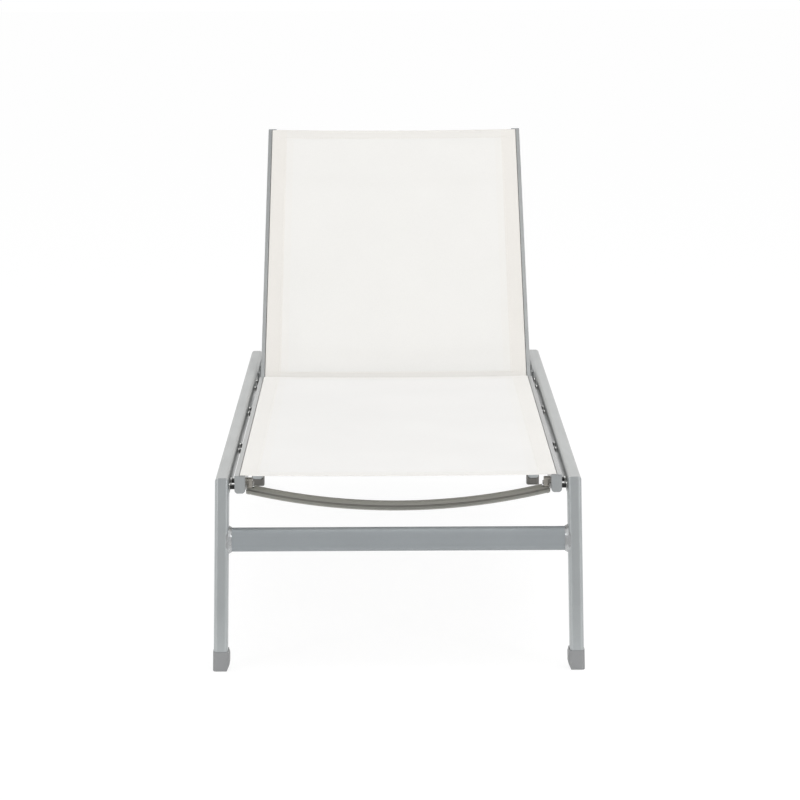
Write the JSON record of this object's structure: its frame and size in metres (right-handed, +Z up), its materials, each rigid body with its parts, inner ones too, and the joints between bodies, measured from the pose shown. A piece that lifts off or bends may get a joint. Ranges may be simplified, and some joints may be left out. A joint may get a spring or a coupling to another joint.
{
  "type": "outdoor chaise lounge",
  "caption": "Powder-coated aluminium chaise lounge with a stretched mesh seat and a reclining mesh back propped by a bail on notched racks.",
  "frame": {"origin": "on the ground below the middle of the chaise's width and length, with the backrest at rest at 40 degrees", "axes": "+X across the chaise to the user's left when lying on it, that is to the right seen from the foot end; +Y from the foot end to the head end; +Z up"},
  "size_m": [0.6876, 1.7708, 0.8477],
  "materials": {
    "frame_silver": "satin",
    "spreader_grey": "satin",
    "grey_plastic": "matte",
    "dark_plastic": "matte",
    "black_plastic": "matte",
    "black_rubber": "matte",
    "steel": "satin",
    "mesh_fabric": "matte"
  },
  "bodies": {
    "frame": {"left_side_rail": "frame_silver", "right_side_rail": "frame_silver", "front_left_leg": "frame_silver", "front_right_leg": "frame_silver", "rear_left_leg": "frame_silver", "rear_right_leg": "frame_silver", "front_left_foot": "grey_plastic", "front_right_foot": "grey_plastic", "rear_left_foot": "grey_plastic", "rear_right_foot": "grey_plastic", "front_crossbar": "frame_silver", "rear_crossbar": "frame_silver", "crossbar_collars": "frame_silver", "left_seat_rail": "frame_silver", "right_seat_rail": "frame_silver", "seat_rail_caps": "grey_plastic", "front_seat_spreader": "spreader_grey", "middle_seat_spreader": "spreader_grey", "rear_seat_spreader": "spreader_grey", "seat_spreader_blocks": "dark_plastic", "seat_spreader_screws": "steel", "seat_sling": "mesh_fabric", "seat_splines": "black_plastic", "rail_bolts": "steel", "rail_spacers": "black_plastic", "rivet_nuts": "steel", "hinge_bolts": "steel", "hinge_spacers": "black_plastic", "left_rack": "frame_silver", "right_rack": "frame_silver", "rack_screws": "steel", "back_stops": "frame_silver", "stop_pads": "black_rubber", "stop_screws": "steel"},
    "backrest": {"left_back_rail": "frame_silver", "right_back_rail": "frame_silver", "back_rail_caps": "grey_plastic", "upper_back_spreader": "spreader_grey", "lower_back_spreader": "spreader_grey", "back_spreader_blocks": "dark_plastic", "back_spreader_screws": "steel", "back_sling": "mesh_fabric", "back_splines": "black_plastic", "hinge_bushes": "black_plastic", "bail_pivot_bolts": "steel", "bail_pivot_spacers": "black_plastic", "bail_pivot_nuts": "steel"},
    "support_bail": {"left_bail_arm": "frame_silver", "right_bail_arm": "frame_silver", "bail_foot_tube": "frame_silver", "bail_foot_rod": "steel", "bail_bushes": "black_plastic"}
  },
  "joints": [
    {"name": "backrest_hinge", "type": "hinge", "parent": "frame", "child": "backrest", "pos_m": [0, 0.29285, 0.3385], "axis": [1, 0, 0], "range_deg": [-40, 10]},
    {"name": "bail_pivot", "type": "hinge", "parent": "backrest", "child": "support_bail", "pos_m": [0, 0.46291, 0.4812], "axis": [1, 0, 0], "range_deg": [-25.2, 100.8]}
  ],
  "couplings": [
    {"joint": "bail_pivot", "follows": "backrest_hinge", "ratio": -2.52}
  ]
}
